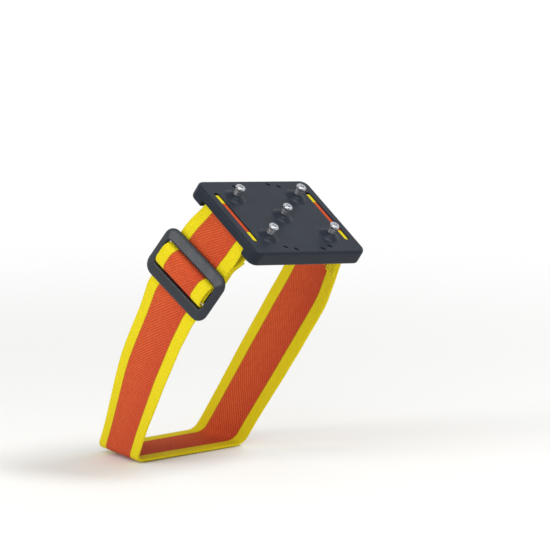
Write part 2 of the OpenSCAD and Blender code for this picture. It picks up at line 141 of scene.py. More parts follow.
def arc(centre, radius, first, last):
    """Points round a centre, from one angle up to another."""
    steps = math.ceil((last - first) / ARC_STEP)
    return [polar(centre, radius, first + (last - first) * i / steps) for i in range(steps + 1)]


def touch_angle(centre, radius, point, side):
    """Where a straight stretch from a point touches a circle, on one side of it."""
    reach = point - centre
    return math.atan2(reach.y, reach.x) + side * math.acos(radius / reach.length)


def corner(before, at, after, radius):
    """A corner made round."""
    u, v = (before - at).normalized(), (after - at).normalized()
    half = math.acos(u.dot(v)) / 2
    turn = math.pi - 2 * half
    centre = at + (u + v).normalized() * radius / math.sin(half)
    start, end = (at + w * radius / math.tan(half) - centre for w in (u, v))
    steps = max(2, math.ceil(turn / ARC_STEP))
    return [centre + (start * math.sin(turn * (1 - i / steps)) + end * math.sin(turn * i / steps)) / math.sin(turn)
            for i in range(steps + 1)]


def rounded(points, radii):
    """A line through points, each inner corner with its own radius."""
    line = [points[0]]
    for i, radius in enumerate(radii):
        line += corner(points[i], points[i + 1], points[i + 2], radius)
    return line + [points[-1]]


# %% Sizes of the webbing, the plate's bars and the slider
WEBBING_W, WEBBING_T = 38, 1.6
LAYER_GAP, RUN_GAP = 0.1, 0.3
BAR_R, BAR_X, BAR_DEPTH = 2, 34.5, 4.3
SLIDER_TILT, SLIDER_ROLL = math.radians(13.6), math.radians(6)
SLIDER_L, SLIDER_W, SLIDER_T = 29.58, 49.2, 4
CENTRE_BAR_W, CENTRE_BAR_T, CENTRE_BAR_H = 7, 2, -1.4
LAYER_STEP = WEBBING_T + LAYER_GAP
SEWN_R = CENTRE_BAR_T / 2 + LAYER_GAP + WEBBING_T / 2
HUMP_R = SEWN_R + LAYER_STEP
WRAP_R = BAR_R + RUN_GAP + WEBBING_T / 2
UPPER_H = -(SLIDER_T / 2 + RUN_GAP + WEBBING_T / 2)
LOWER_H = UPPER_H - LAYER_STEP
TAIL_H = LOWER_H - LAYER_STEP
print("webbing", WEBBING_W, "by", WEBBING_T, "mm")

# %% Fix the bars and the slider in the loop's plane
NEAR_BEND_R = 6
UPPER_LAYER_L, UPPER_LAYER_LEAN = 18.5, math.radians(32)
LEAD_PAST_SLIDER = 1
LEAD = SLIDER_L / 2 + LEAD_PAST_SLIDER


def on_plate(x, z):
    """A point of the loop's plane, given in the plate's own x and z."""
    c, s = math.cos(PLATE_ROLL), math.sin(PLATE_ROLL)
    return PLATE_PLACE + Vector((x * c + z * s, z * c - x * s))


near_bar, far_bar = on_plate(-BAR_X, -BAR_DEPTH), on_plate(BAR_X, -BAR_DEPTH)
slider_along = Vector((math.sin(SLIDER_TILT), math.cos(SLIDER_TILT)))
slider_out = Vector((-math.cos(SLIDER_TILT), math.sin(SLIDER_TILT)))
bend_at = LEAD + NEAR_BEND_R / 2
upper_bend = near_bar - UPPER_LAYER_L * Vector((math.sin(UPPER_LAYER_LEAN), math.cos(UPPER_LAYER_LEAN)))
slider_centre = upper_bend - bend_at * slider_along - UPPER_H * slider_out
SLIDER_FRAME = in_loop(slider_centre, SLIDER_TILT - math.pi / 2) @ Matrix.Rotation(SLIDER_ROLL, 4, "X")
print("slider centre", [round(c, 1) for c in SLIDER_FRAME.translation / MM], "mm")

# %% Helpers for laying out the route, length by length
LONGEST_STEP = 2.5
CLOSE = 0.01  # points less than this many mm apart count as the same
CLIMB = math.radians(72)
route = []
lengths = {}


def add_length(name, points):
    """Add a named length to the route, with long straight stretches divided."""
    first = max(0, len(route) - 1)
    for point in points:
        if route and (point - route[-1]).length < CLOSE:
            continue
        if route:
            start, gap = route[-1], point - route[-1]
            steps = math.ceil(gap.length / LONGEST_STEP)
            route.extend(start + gap * i / steps for i in range(1, steps + 1))
        else:
            route.append(point)
    lengths[name] = (first, len(route) - 1)


def on_slider(s, h):
    """A point of the loop's plane, given along the slider and out from its middle."""
    return slider_centre + s * slider_along + h * slider_out


def inward(along):
    """Across a stretch that goes clockwise round the loop, towards the inside of the loop."""
    return Vector((along.y, -along.x))


def climb_at(height, radius):
    """Where webbing that climbs past the centre bar reaches a height."""
    end = (CENTRE_BAR_W - CENTRE_BAR_T) / 2
    sine, cosine = math.sin(CLIMB), math.cos(CLIMB)
    return (end * sine + (CENTRE_BAR_H - height) * cosine + radius) / sine


# %% The tail, and the sewn end round the centre bar
LOWER_SAG, TAIL_L = 1.5, 7.5
FOOT_R = 2
SNUG = 0.97  # share of the full radius at which two arcs in a row don't quite meet

lower_bend = on_slider(bend_at, LOWER_H)
lower_in = inward((near_bar - lower_bend).normalized())
lower_sag = (lower_bend + near_bar + WRAP_R * lower_in) / 2 + LOWER_SAG * lower_in
tail_along = (lower_sag - lower_bend).normalized()
tail_in = inward(tail_along)
tail_bend = lower_bend + LAYER_STEP * (tail_in - slider_out) / (1 - tail_in.dot(slider_out))
add_length("tail", rounded([tail_bend + TAIL_L * tail_along, tail_bend, on_slider(LEAD, TAIL_H)],
                           [NEAR_BEND_R - LAYER_STEP]))

sewn_top, sewn_under = CENTRE_BAR_H + SEWN_R, CENTRE_BAR_H - SEWN_R
sewn_side = -(CENTRE_BAR_W - CENTRE_BAR_T) / 2 - SEWN_R
sewn_foot = climb_at(LOWER_H, SEWN_R)
sewn = [(LEAD, LOWER_H), (sewn_foot, LOWER_H), (climb_at(sewn_top, SEWN_R), sewn_top), (sewn_side, sewn_top),
        (sewn_side, sewn_under), (0, sewn_under), (sewn_foot, TAIL_H), (LEAD, TAIL_H)]
turn_r = SNUG * SEWN_R
sewn_line = rounded([on_slider(*p) for p in sewn],
                    [FOOT_R + LAYER_STEP, SEWN_R, turn_r, turn_r, SEWN_R, FOOT_R])
add_length("sewn_end", sewn_line[::-1])
print("sewn end and tail:", len(route), "points")

# %% Up to the near bar and back, then over the centre bar
SAG_R = 12
HUMP_CLIMB, HUMP_RISE, HUMP_BEND_R = math.radians(85), 1, 4.6

loop_first = touch_angle(near_bar, WRAP_R, lower_sag, 1)
loop_last = touch_angle(near_bar, WRAP_R, upper_bend, -1) + 2 * math.pi
near_loop = arc(near_bar, WRAP_R, loop_first, loop_last)
add_length("lower_layer", rounded([on_slider(LEAD, LOWER_H), lower_bend, lower_sag, near_loop[0]],
                                  [NEAR_BEND_R, SAG_R]))
add_length("near_bar_loop", near_loop)
add_length("upper_layer", rounded([near_loop[-1], upper_bend, on_slider(LEAD, UPPER_H)], [NEAR_BEND_R]))

hump_foot, hump_top = climb_at(UPPER_H, HUMP_R), CENTRE_BAR_H + HUMP_R + HUMP_RISE
shoulder = hump_foot - (hump_top - UPPER_H) / math.tan(HUMP_CLIMB)
hump = [(LEAD, UPPER_H), (hump_foot, UPPER_H), (shoulder, hump_top), (-shoulder, hump_top), (-hump_foot, UPPER_H),
        (-LEAD, UPPER_H)]
add_length("over_slider", rounded([on_slider(*p) for p in hump], [FOOT_R, HUMP_BEND_R, HUMP_BEND_R, FOOT_R]))
print("hump's middle line", round(hump_top, 1), "mm above the slider's middle")

# %% Down the near side, round the sole and up the far side
SOLE_W, SOLE_BEND_R = 70.5, 5.8
EXIT_L, EXIT_BEND_R = 4, 12
WAIST_IN, WAIST_H, WAIST_R = 2.4, 62, 150
FAR_SIDE_L, FAR_SIDE_LEAN, FAR_BEND_R = 45, math.radians(12), 50
FAR_SEWN_L = 24
NEAR_UPPER_L, FAR_UPPER_L = 34, 25

near_exit = on_slider(-LEAD, UPPER_H)
near_bulge = near_exit - EXIT_L * slider_along
near_waist = Vector((near_bulge.x + WAIST_IN, WAIST_H))
near_corner = Vector((-(SOLE_W + WEBBING_T) / 2, -WEBBING_T / 2))
far_corner = Vector((-near_corner.x, near_corner.y))
far_bulge = far_bar + FAR_SIDE_L * Vector((math.sin(FAR_SIDE_LEAN), -math.cos(FAR_SIDE_LEAN)))
far_first = touch_angle(far_bar, WRAP_R, far_bulge, 1)
far_touch = polar(far_bar, WRAP_R, far_first)
far_along = (far_bulge - far_touch).normalized()
far_join = far_touch + FAR_SEWN_L * far_along

near_arc = corner(near_exit, near_bulge, near_waist, EXIT_BEND_R)
waist_arc = corner(near_bulge, near_waist, near_corner, WAIST_R)
near_sole_arc = corner(near_waist, near_corner, far_corner, SOLE_BEND_R)
far_sole_arc = corner(near_corner, far_corner, far_bulge, SOLE_BEND_R)
far_arc = corner(far_corner, far_bulge, far_join, FAR_BEND_R)
near_split = near_arc[-1] + NEAR_UPPER_L * (waist_arc[0] - near_arc[-1]).normalized()
far_split = far_arc[0] + FAR_UPPER_L * (far_sole_arc[-1] - far_arc[0]).normalized()
add_length("near_upper", [near_exit, *near_arc, near_split])
add_length("round_sole", [near_split, *waist_arc, *near_sole_arc, *far_sole_arc, far_split])
add_length("far_upper", [far_split, *far_arc, far_join])
print("run under the sole", SOLE_W, "mm wide")

# %% The sewn loop at the far side
FAR_TAIL_L = 11

far_tail_end = far_join + LAYER_STEP * inward(far_along)
far_tail_bend = far_tail_end - FAR_TAIL_L * far_along
far_last = touch_angle(far_bar, WRAP_R, far_tail_bend, -1) + 2 * math.pi
far_loop = arc(far_bar, WRAP_R, far_first, far_last)
far_tail = rounded([far_loop[-1], far_tail_bend, far_tail_end], [NEAR_BEND_R])
add_length("far_bar_loop", [far_join, *far_loop, *far_tail])

distance = [0]
for previous, point in zip(route, route[1:]):
    distance.append(distance[-1] + (point - previous).length)
print("webbing route", round(distance[-1]), "mm in", len(lengths), "lengths")

# %% [markdown]
# ## Laying the webbing
# Each length of webbing is a flat grid that is laid along its part of the route, as a strip is laid along a drawn
# line. High up it stands square to the loop's plane, and it twists until it lies nearly flat under the sole. It also
# leans with the slider, and flares a little at the sole, where its toe edge stands further out. A curve with a
# bevel would sweep a strip too, but here the width's direction is known at every point, and a curve's tilt is not.
# A Solidify modifier gives the 1.6 mm thickness, and a vertex group thins it at both edges into rounded selvedges.
# The UV map holds the distance along the route and across the width, so that the weave runs on from length to
# length. The tail lies under the lower layer and is sewn to it, so the two become one piece.

# %% Select, apply and join
def deselect():
    """Leave edit mode and select nothing, so that an operator only meets what is picked next."""
    if bpy.context.object and bpy.context.object.mode != "OBJECT":
        bpy.ops.object.mode_set(mode="OBJECT")
    bpy.ops.object.select_all(action="DESELECT")


def pick_piece(piece):
    deselect()
    piece.select_set(True)
    bpy.context.view_layer.objects.active = piece


def apply_modifiers(piece):
    pick_piece(piece)
    for modifier in list(piece.modifiers):
        bpy.ops.object.modifier_apply(modifier=modifier.name)


def join_pieces(pieces):
    pick_piece(pieces[0])
    for piece in pieces[1:]:
        piece.select_set(True)
    bpy.ops.object.join()
    return pieces[0]


# %% Twist and lean of the webbing's width
SOLE_SLOPE, SOLE_FLARE = math.radians(4), math.radians(6)
TWIST_LOW, FLARE_TOP, TWIST_TOP = 10, 75, 95  # heights in the loop's plane
ROLL_RUN = 24
SIDE_CHANGE_W = SOLE_W - 10  # the near side's lean passes into the far side's over this width


def in_space(point):
    return Vector((point.x, -point.y * math.sin(LOOP_LEAN), point.y * math.cos(LOOP_LEAN)))


def clamped(share):
    return min(1, max(0, share))


def eased(share):
    return clamped(share) ** 2 * (3 - 2 * clamped(share))


def width_direction(point):
    """The way the webbing's width points, at a point of the loop's plane."""
    height = point.y
    angle = SOLE_SLOPE + (LOOP_LEAN - SOLE_SLOPE) * eased((height - TWIST_LOW) / (TWIST_TOP - TWIST_LOW))
    flare = SOLE_FLARE * (eased((height - TWIST_LOW) / (FLARE_TOP - TWIST_LOW)) - 1)
    if height > near_exit.y:
        bend_up = on_slider(bend_at + NEAR_BEND_R / 2, UPPER_H).y
        roll = SLIDER_ROLL * (1 - eased((height - bend_up) / (near_bar.y - WRAP_R - bend_up)))
    else:
        roll = SLIDER_ROLL * eased((height - near_exit.y) / ROLL_RUN + 1)
    far = clamped(0.5 + point.x / SIDE_CHANGE_W)
    lean = (1 - far) * math.tan(roll + flare) * in_space(slider_out) + far * math.tan(flare) * Vector((1, 0, 0))
    return (Vector((0, math.cos(angle), math.sin(angle))) + lean).normalized()


# %% Lay each length of webbing
HALF_COLUMNS = [0, 3.7, 7.3, 11, 15, 17.6, 18.4, 18.8, WEBBING_W / 2]
COLUMNS = [-column for column in HALF_COLUMNS[:0:-1]] + HALF_COLUMNS
SELVEDGE = [0.12, 0.6, 0.95]
COLUMN_THICKNESS = SELVEDGE + [1] * (len(COLUMNS) - 2 * len(SELVEDGE)) + SELVEDGE[::-1]
EDGE_WANDER, WANDER_RUN = 0.12, 9
WANDER_LANES = (-2.5, 3.5)  # each half of the width reads the noise along a line of its own


def lay_webbing(name):
    """Lay one named length of the route as a strip of webbing."""
    first, last = lengths[name]
    deselect()
    bpy.ops.mesh.primitive_grid_add(x_subdivisions=len(COLUMNS) - 1, y_subdivisions=last - first, size=1)
    strip = bpy.context.object
    strip.name = strip.data.name = "woven_" + name
    thickness = strip.vertex_groups.new(name="thickness")
    places = []
    for vertex in strip.data.vertices:
        column = round((vertex.co.x + 0.5) * (len(COLUMNS) - 1))
        station = first + round((vertex.co.y + 0.5) * (last - first))
        lane = WANDER_LANES[COLUMNS[column] >= 0]
        wander = EDGE_WANDER * noise.noise(Vector((distance[station] / WANDER_RUN, lane, 0)))
        across = COLUMNS[column] * (1 + wander / (WEBBING_W / 2))
        vertex.co = (in_space(route[station]) + across * width_direction(route[station])) * MM
        thickness.add([vertex.index], COLUMN_THICKNESS[column], "REPLACE")
        places.append((distance[station] * MM, COLUMNS[column] * MM))
    weave_map = strip.data.uv_layers[0]
    weave_map.name = "route"
    for loop in strip.data.loops:
        weave_map.data[loop.index].uv = places[loop.vertex_index]
    solid = strip.modifiers.new("thickness", "SOLIDIFY")
    solid.thickness, solid.offset = WEBBING_T * MM, 0
    solid.vertex_group, solid.thickness_vertex_group = "thickness", 0
    apply_modifiers(strip)
    bpy.ops.object.shade_smooth_by_angle(angle=math.radians(60))
    return strip


webbing = {name: lay_webbing(name) for name in lengths}
webbing["lower_layer"] = join_pieces([webbing["lower_layer"], webbing.pop("tail")])
print("webbing faces", sum(len(strip.data.polygons) for strip in webbing.values()))

# %% [markdown]
# The lengths are then tied to what carries them. The hump and the sewn end travel with the slider, and the far
# loop turns with the plate. Three lengths run between the still webbing and the slider, and one between it and the
# plate; these four are left where they lie and are not tied to a body.

# %% Tie the webbing to the bodies
for name, body, nodes in [
        ("round_sole", "strap", ("webbing_near_lower", "webbing_under_sole", "webbing_far_lower")),
        ("near_bar_loop", "strap", ("webbing_near_bar_loop",)),
        ("over_slider", "slider", ("webbing_over_slider",)),
        ("sewn_end", "slider", ("webbing_sewn_end",)),
        ("far_bar_loop", "plate", ("webbing_far_bar_loop",))]:
    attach(webbing[name], body)
    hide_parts(*nodes)
    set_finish(webbing[name], "webbing")

for name, body, still, moving in [
        ("upper_layer", "slider", near_loop[-1], on_slider(LEAD, UPPER_H)),
        ("lower_layer", "slider", near_loop[0], on_slider(LEAD, LOWER_H)),
        ("near_upper", "slider", near_split, near_exit),
        ("far_upper", "plate", far_split, far_join)]:
    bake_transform(webbing[name])
    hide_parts("webbing_" + name)
    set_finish(webbing[name], "webbing")
print("tied", len(webbing), "pieces of webbing")

# %% [markdown]
# ## The traction plate
# The plate is one rubber moulding. A cube takes its outer size, and its corners and rims are bevelled round. Each
# stud's mound is a bell whose profile is spun as on a lathe and joined on, and the pockets, slots, bores and slits
# are cut out with Boolean modifiers. The rims of the slots are bevelled last, because a mould leaves no knife edges.
# Sculpting would suit softer shapes, but these are flat faces with small fillets, which bevels give exactly.

# %% Name, edit and pick
def name_piece(name):
    """Name the new object and put its size and place into its mesh."""
    piece = bpy.context.object
    piece.name = piece.data.name = name
    bpy.ops.object.transform_apply(location=True, rotation=True, scale=True)
    return piece


def edit(piece):
    pick_piece(piece)
    bpy.ops.object.mode_set(mode="EDIT")


def pick_edges(piece, test):
    """In edit mode, select only the edges that pass a test on their two ends, in mm."""
    bpy.ops.mesh.select_mode(type="EDGE")
    bpy.ops.mesh.select_all(action="DESELECT")
    mesh = bmesh.from_edit_mesh(piece.data)
    for line in mesh.edges:
        line.select_set(bool(test(*(end.co / MM for end in line.verts), line)))
    bmesh.update_edit_mesh(piece.data)
    return sum(line.select for line in mesh.edges)


# %% Slabs, rods and cuts
def slab(name, size, radius, low, high, segments=8):
    """A flat slab with round corners, from one height to another."""
    deselect()
    bpy.ops.mesh.primitive_cube_add(size=1, location=(0, 0, (low + high) / 2 * MM),
                                    scale=(size[0] * MM, size[1] * MM, (high - low) * MM))
    piece = name_piece(name)
    edit(piece)
    pick_edges(piece, lambda a, b, line: (a - b).xy.length < CLOSE)
    bpy.ops.mesh.bevel(offset=radius * MM, segments=segments, affect="EDGES")
    bpy.ops.object.mode_set(mode="OBJECT")
    return piece


def rod(name, radius, low, high, at=(0, 0), sides=40):
    deselect()
    bpy.ops.mesh.primitive_cylinder_add(vertices=sides, radius=radius * MM, depth=(high - low) * MM,
                                        location=(at[0] * MM, at[1] * MM, (low + high) / 2 * MM))
    return name_piece(name)


def cross_rod(name, radius, length, x, z, sides=48):
    """A rod along the plate's length."""
    deselect()
    bpy.ops.mesh.primitive_cylinder_add(vertices=sides, radius=radius * MM, depth=length * MM,
                                        location=(x * MM, 0, z * MM), rotation=(math.pi / 2, 0, 0))
    return name_piece(name)


def combine(piece, other, operation):
    """Cut another shape out of a piece, or join it on."""
    boolean = piece.modifiers.new(operation.lower(), "BOOLEAN")
    boolean.object, boolean.operation, boolean.solver = other, operation, "EXACT"
    apply_modifiers(piece)
    bpy.data.objects.remove(other)


# %% Spin profiles as a lathe does
LATHE_STEPS = 40


def turn_on_lathe(name, profile, edge_round=0):
    """Spin a profile of (radius, height) points in mm about the z axis, with its corners rounded."""
    deselect()
    bpy.ops.mesh.primitive_circle_add(vertices=len(profile), fill_type="NOTHING")
    piece = bpy.context.object
    for vertex, (radius, height) in zip(piece.data.vertices, profile):
        vertex.co = Vector((radius, 0, height)) * MM
    piece = name_piece(name)
    edit(piece)
    pick_edges(piece, lambda a, b, line: a.x < CLOSE and b.x < CLOSE)
    bpy.ops.mesh.delete(type="EDGE")
    if edge_round:
        bpy.ops.mesh.select_mode(type="VERT")
        bpy.ops.mesh.select_all(action="DESELECT")
        mesh = bmesh.from_edit_mesh(piece.data)
        for vertex in mesh.verts:
            vertex.select_set(len(vertex.link_edges) == 2)
        bmesh.update_edit_mesh(piece.data)
        bpy.ops.mesh.bevel(offset=edge_round * MM, segments=2, affect="VERTICES")
    bpy.ops.mesh.select_all(action="SELECT")
    bpy.ops.mesh.spin(steps=LATHE_STEPS, angle=2 * math.pi, center=(0, 0, 0), axis=(0, 0, 1))
    bpy.ops.mesh.select_all(action="SELECT")
    bpy.ops.mesh.remove_doubles(threshold=CLOSE * MM)
    bpy.ops.mesh.normals_make_consistent(inside=False)
    bpy.ops.object.mode_set(mode="OBJECT")
    return piece


# %% The plate's block
PLATE_W, PLATE_L, PLATE_T = 83, 60, 9
PLATE_CORNER_R, FACE_ROUND, BACK_ROUND = 5, 1.5, 1.6

plate = slab("traction_plate_moulding", (PLATE_W, PLATE_L), PLATE_CORNER_R, -PLATE_T, 0, segments=10)
edit(plate)
pick_edges(plate, lambda a, b, line: min(a.z, b.z) > -CLOSE)
bpy.ops.mesh.bevel(offset=FACE_ROUND * MM, segments=4, affect="EDGES")
pick_edges(plate, lambda a, b, line: max(a.z, b.z) < CLOSE - PLATE_T)
bpy.ops.mesh.bevel(offset=BACK_ROUND * MM, segments=4, affect="EDGES")
bpy.ops.object.mode_set(mode="OBJECT")
print("plate's block:", len(plate.data.polygons), "faces")

# %% The studs' mounds
STUD_PLACES = {"heel_near": (-23, 16), "heel_far": (23, 16), "centre": (0, 0), "toe_near": (-23, -16),
               "toe_far": (23, -16)}
MOUND_FOOT_R, MOUND_TOP_R, MOUND_H = 6.8, 2.3, 2.2


def mound(place):
    """A bell-shaped mound that runs out into the face and starts a little below it."""
    root, sink, steps = 0.6, 0.03, 12
    profile = [(0, -root), (MOUND_FOOT_R, -root)]
    for i in range(steps + 1):
        fall = 1 - i / steps
        profile.append((MOUND_TOP_R + (MOUND_FOOT_R - MOUND_TOP_R) * fall,
                        MOUND_H - (MOUND_H + sink) * eased(fall)))
    piece = turn_on_lathe("mound", profile + [(0, MOUND_H)])
    piece.location = (place[0] * MM, place[1] * MM, 0)
    bpy.ops.object.transform_apply(location=True)
    return piece


combine(plate, join_pieces([mound(place) for place in STUD_PLACES.values()]), "UNION")
print("plate with mounds:", len(plate.data.polygons), "faces")

# %% Bores for the studs, and the moulded slits
PAST = 1  # how far a cutter runs past the face that it cuts
SHANK_R, BARREL_R, FLANGE_R, SEAT_GAP = 1.9, 3.2, 5.4, 0.05
FLANGE_T, BARREL_L = 1.2, 4.5
SLIT_L, SLIT_W, SLIT_DEPTH, SLIT_CORNER_R = 3, 1.4, 1.5, 0.65
SLIT_TURN = math.radians(-35)
SLIT_ROWS = [(10, 3.4), (16.7, 5.2)]  # out from the plate's middle, and in from its edge


def slit(x, y):
    piece = slab("slit", (SLIT_L, SLIT_W), SLIT_CORNER_R, -SLIT_DEPTH, PAST, segments=4)
    piece.location, piece.rotation_euler.z = (x * MM, y * MM, 0), SLIT_TURN
    bpy.ops.object.transform_apply(location=True, rotation=True)
    return piece


for radius, high in [(SHANK_R, MOUND_H + PAST), (BARREL_R, FLANGE_T + BARREL_L - PLATE_T),
                     (FLANGE_R, FLANGE_T - PLATE_T)]:
    combine(plate, join_pieces([rod("bore", radius + SEAT_GAP, -PLATE_T - PAST, high, place, sides=36)
                                for place in STUD_PLACES.values()]), "DIFFERENCE")
combine(plate, join_pieces([slit(sx * x, sy * (PLATE_L / 2 - inset)) for x, inset in SLIT_ROWS
                            for sx in (-1, 1) for sy in (-1, 1)]), "DIFFERENCE")
print("plate with bores and slits:", len(plate.data.polygons), "faces")

# %% Pockets, slots and bars for the webbing
POCKET_R, POCKET_L = 4, 40
SLOT_W, SLOT_L, SLOT_CORNER_R = 3.4, 39.4, 1.3
LIP_SLOPE = math.radians(40)


def wedge(side):
    """The way out under the lip: a many-sided outline drawn across the pocket and extruded along it."""
    touch = Vector((-math.sin(LIP_SLOPE), math.cos(LIP_SLOPE))) * POCKET_R
    edge, below = BAR_X - PLATE_W / 2 - PAST, BAR_DEPTH - PLATE_T - PAST
    outline = [touch, (edge, touch.y + (edge - touch.x) * math.tan(LIP_SLOPE)), (edge, below), (POCKET_R, below),
               (POCKET_R, 0), (0, 0)]
    deselect()
    bpy.ops.mesh.primitive_circle_add(vertices=len(outline), fill_type="NGON")
    piece = bpy.context.object
    for vertex, (x, z) in zip(piece.data.vertices, outline):
        vertex.co = Vector((side * (x - BAR_X), -POCKET_L / 2, z - BAR_DEPTH)) * MM
    piece = name_piece("wedge")
    edit(piece)
    bpy.ops.mesh.select_all(action="SELECT")
    bpy.ops.mesh.extrude_region_move(TRANSFORM_OT_translate={"value": (0, POCKET_L * MM, 0)})
    bpy.ops.mesh.select_all(action="SELECT")
    bpy.ops.mesh.normals_make_consistent(inside=False)
    bpy.ops.object.mode_set(mode="OBJECT")
    return piece


def slot_cutter(side):
    piece = slab("slot", (SLOT_W, SLOT_L), SLOT_CORNER_R, -BAR_DEPTH, PAST, segments=8)
    piece.location.x = side * BAR_X * MM
    bpy.ops.object.transform_apply(location=True)
    return piece


for side in (-1, 1):
    combine(plate, cross_rod("pocket", POCKET_R, POCKET_L, side * BAR_X, -BAR_DEPTH), "DIFFERENCE")
    combine(plate, wedge(side), "DIFFERENCE")
    combine(plate, slot_cutter(side), "DIFFERENCE")
    combine(plate, cross_rod("bar", BAR_R, POCKET_L + 2 * PAST, side * BAR_X, -BAR_DEPTH), "UNION")
print("plate with pockets, slots and bars:", len(plate.data.polygons), "faces")

# %% Round the rims that the cuts left sharp
SLOT_ROUND = 0.22


def on_face(a, b):
    return abs(a.z) < CLOSE and abs(b.z) < CLOSE


def near_slot(point):
    return abs(abs(point.x) - BAR_X) < SLOT_W / 2 + CLOSE and abs(point.y) < SLOT_L / 2 + CLOSE


def sharp(line, least=25):
    return len(line.link_faces) == 2 and line.calc_face_angle(0) > math.radians(least)


edit(plate)
rims = pick_edges(plate, lambda a, b, line: on_face(a, b) and near_slot(a) and near_slot(b) and sharp(line))
bpy.ops.mesh.bevel(offset=SLOT_ROUND * MM, segments=3, affect="EDGES", loop_slide=False)
bpy.ops.object.mode_set(mode="OBJECT")
print("rounded", rims, "edges of the slots")

# %% Shade the plate and put it in place
def finish_shape(piece, place, sharp_angle=35):
    """Smooth shading that keeps flat faces flat, then the piece's place goes into its mesh."""
    pick_piece(piece)
    bpy.ops.object.shade_smooth_by_angle(angle=math.radians(sharp_angle))
    normals = piece.modifiers.new("flat faces stay flat", "WEIGHTED_NORMAL")
    normals.keep_sharp = True
    apply_modifiers(piece)
    piece.matrix_world = place
    bpy.ops.object.transform_apply(location=True, rotation=True, scale=True)


finish_shape(plate, PLATE_FRAME)
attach(plate, "plate")
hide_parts("traction_plate")
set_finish(plate, "plate")
print("plate:", len(plate.data.polygons), "faces")

# %% [markdown]
# ## The slider
# The slider is a moulded frame with a centre bar that is set back, so that the webbing can go over it. Two rounded
# rectangles are bridged into a flat ring, the ring is extruded to its thickness, and its rims are bevelled: wide
# outside, where a thumb pushes it, and narrow round the window. The outer face then falls away towards the rim all
# round, so each bar catches the light in its own way. Cutting the window with a Boolean would also work, but the
# bridge leaves clean quads for the bevels.

# %% Bridge two outlines into the slider's ring
WINDOW_L, WINDOW_W = 15.58, 39.8
SLIDER_CORNER_R, WINDOW_CORNER_R = 6.5, 2


def ring_outline(size, radius):
    """A rounded rectangle without a face, lying on the slider's inner side."""
    deselect()
    bpy.ops.mesh.primitive_plane_add(size=1, location=(0, 0, -SLIDER_T / 2 * MM))
    bpy.context.object.scale = (size[0] * MM, size[1] * MM, 1)
    piece = name_piece("outline")
    edit(piece)
    bpy.ops.mesh.select_all(action="SELECT")
    bpy.ops.mesh.bevel(offset=radius * MM, segments=10, affect="VERTICES")
    bpy.ops.mesh.select_all(action="SELECT")
    bpy.ops.mesh.delete(type="ONLY_FACE")
    bpy.ops.object.mode_set(mode="OBJECT")
    return piece


slider = join_pieces([ring_outline((SLIDER_L, SLIDER_W), SLIDER_CORNER_R),
                      ring_outline((WINDOW_L, WINDOW_W), WINDOW_CORNER_R)])
slider.name = slider.data.name = "slider_moulding"
edit(slider)
bpy.ops.mesh.select_mode(type="EDGE")
bpy.ops.mesh.select_all(action="SELECT")
bpy.ops.mesh.bridge_edge_loops()
bpy.ops.mesh.select_all(action="SELECT")
bpy.ops.mesh.extrude_region_move(TRANSFORM_OT_translate={"value": (0, 0, SLIDER_T * MM)})
bpy.ops.mesh.select_all(action="SELECT")
bpy.ops.mesh.normals_make_consistent(inside=False)
bpy.ops.object.mode_set(mode="OBJECT")
print("slider's ring:", len(slider.data.polygons), "faces")

# %% Round the slider's rims
OUTER_ROUND, WINDOW_ROUND = 1.8, 1.3
RIM_FALL = 0.8


def in_window(a, b):
    return all(abs(p.x) < WINDOW_L / 2 + CLOSE and abs(p.y) < WINDOW_W / 2 + CLOSE for p in (a, b))


edit(slider)
pick_edges(slider, lambda a, b, line: abs(a.z - b.z) < CLOSE and sharp(line) and not in_window(a, b))
bpy.ops.mesh.bevel(offset=OUTER_ROUND * MM, segments=5, affect="EDGES")
pick_edges(slider, lambda a, b, line: abs(a.z - b.z) < CLOSE and sharp(line, 60) and in_window(a, b))
bpy.ops.mesh.bevel(offset=WINDOW_ROUND * MM, segments=4, affect="EDGES")
bpy.ops.object.mode_set(mode="OBJECT")
for vertex in slider.data.vertices:
    x, y = abs(vertex.co.x) / MM, abs(vertex.co.y) / MM
    to_rim = max((2 * x - WINDOW_L) / (SLIDER_L - WINDOW_L), (2 * y - WINDOW_W) / (SLIDER_W - WINDOW_W), 0)
    if vertex.co.z > 0:
        vertex.co.z *= 1 - RIM_FALL * to_rim
print("slider frame:", len(slider.data.polygons), "faces")

# %% Add the centre bar and put the slider in place
BAR_INTO_FRAME = 2.35
CENTRE_BAR_ROUND = 0.98  # just under half the bar's thickness

deselect()
bpy.ops.mesh.primitive_cube_add(size=1, location=(0, 0, CENTRE_BAR_H * MM),
                                scale=(CENTRE_BAR_W * MM, (WINDOW_W + 2 * BAR_INTO_FRAME) * MM, CENTRE_BAR_T * MM))
centre_bar = name_piece("centre_bar")
edit(centre_bar)
pick_edges(centre_bar, lambda a, b, line: (a - b).xz.length < CLOSE)
bpy.ops.mesh.bevel(offset=CENTRE_BAR_ROUND * MM, segments=6, affect="EDGES")
bpy.ops.object.mode_set(mode="OBJECT")
combine(slider, centre_bar, "UNION")
finish_shape(slider, SLIDER_FRAME)
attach(slider, "slider")
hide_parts("slider_frame")
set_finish(slider, "slider")
print("slider:", len(slider.data.polygons), "faces")

# %% [markdown]
# ## Studs, tips and inserts
# A stud is turned on a lathe and then fluted for its driver. So its profile is spun as the mounds were, here with its
# corners bevelled first, and six flutes are cut round the crown. Cylinders and cones could be stacked instead, but a
# profile keeps every step of the shape in one list. The carbide tip and the flanged insert are spun too, and the
# insert's flange has three notches that keep it from turning in the rubber. Each is modelled once, and the copies
# get a mesh of their own at each stud's place.

